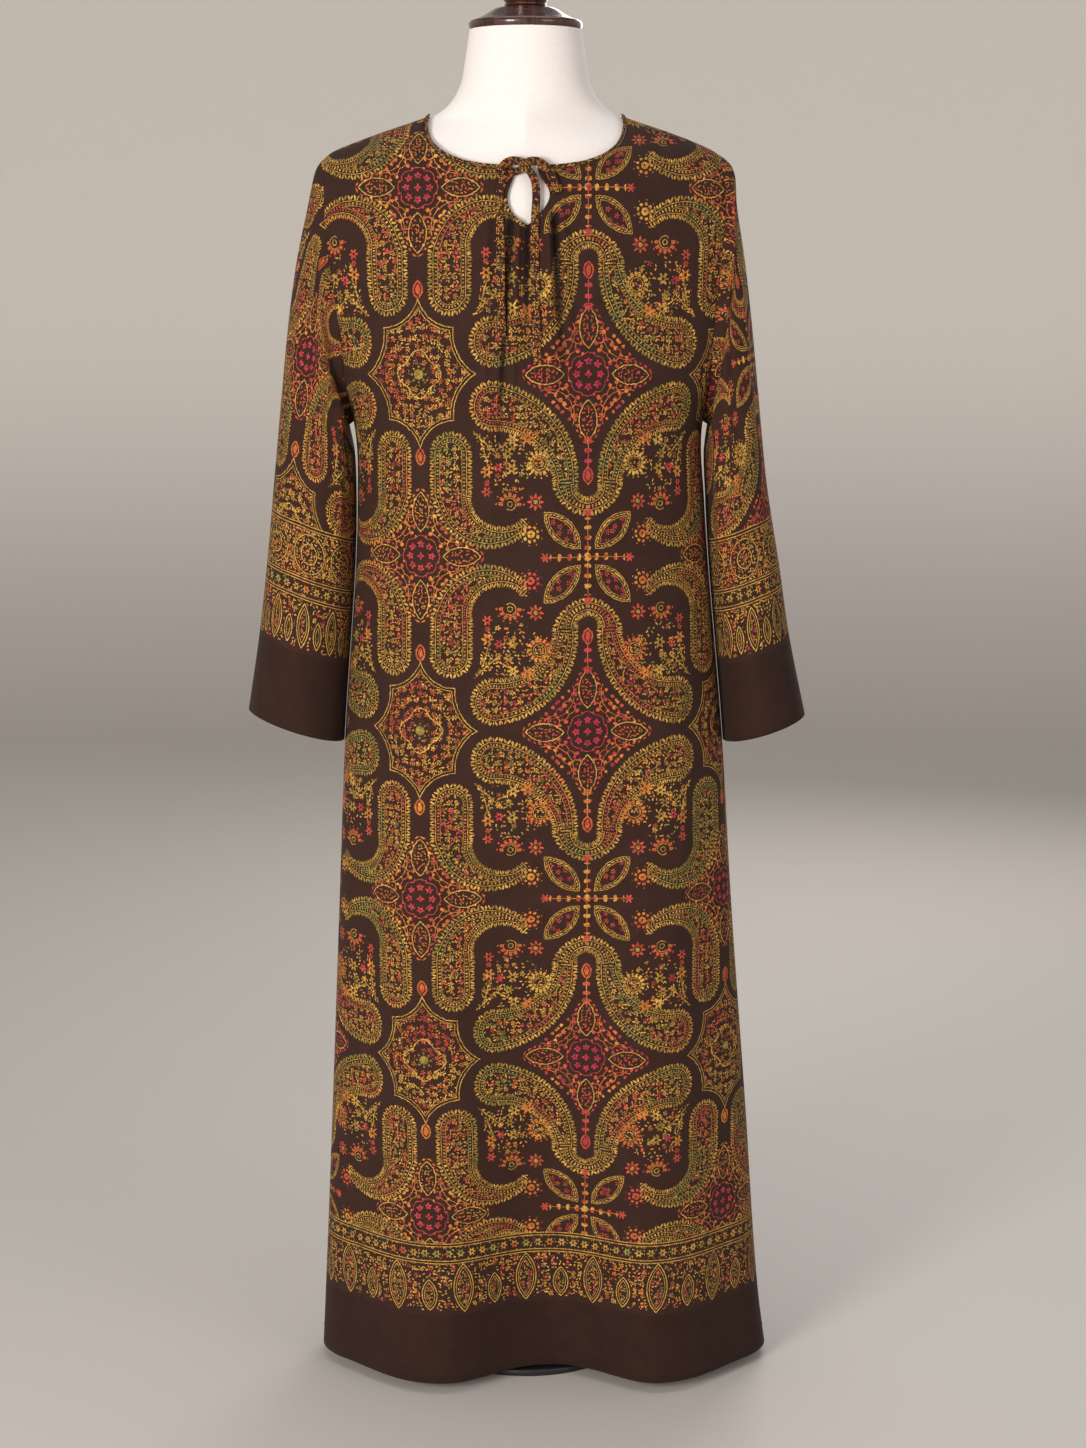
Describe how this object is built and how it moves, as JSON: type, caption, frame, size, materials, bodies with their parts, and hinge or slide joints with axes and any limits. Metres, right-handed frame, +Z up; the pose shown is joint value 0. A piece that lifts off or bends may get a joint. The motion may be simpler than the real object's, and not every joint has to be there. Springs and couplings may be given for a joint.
{
  "type": "kaftan on a dress form",
  "caption": "Long-sleeved dark brown kaftan in a traditional shawl print, with a keyhole neck and narrow tie, on a limbless dress form with a turned wood neck cap.",
  "frame": {"origin": "on the floor, under the centre of the stand's base and on the pole's axis", "axes": "+Z up, the wearer's front towards -Y, the left of the front view towards -X"},
  "size_m": [0.6084, 0.2849, 1.5306],
  "materials": {
    "printed_twill": "matte",
    "white_cover": "matte",
    "board": "satin",
    "polished_wood": "gloss",
    "black_steel": "satin"
  },
  "bodies": {
    "root": {"kaftan_front": "printed_twill", "kaftan_back": "printed_twill", "sleeve_left": "printed_twill", "sleeve_right": "printed_twill", "neck_binding": "printed_twill", "neck_tie_knot": "printed_twill", "neck_tie_loop_left": "printed_twill", "neck_tie_loop_right": "printed_twill", "neck_tie_tail_left": "printed_twill", "neck_tie_tail_right": "printed_twill", "form_torso": "white_cover", "form_board": "board", "neck_cap": "polished_wood", "cap_knob": "polished_wood", "stand_pole": "black_steel", "stand_base": "black_steel"}
  },
  "joints": []
}
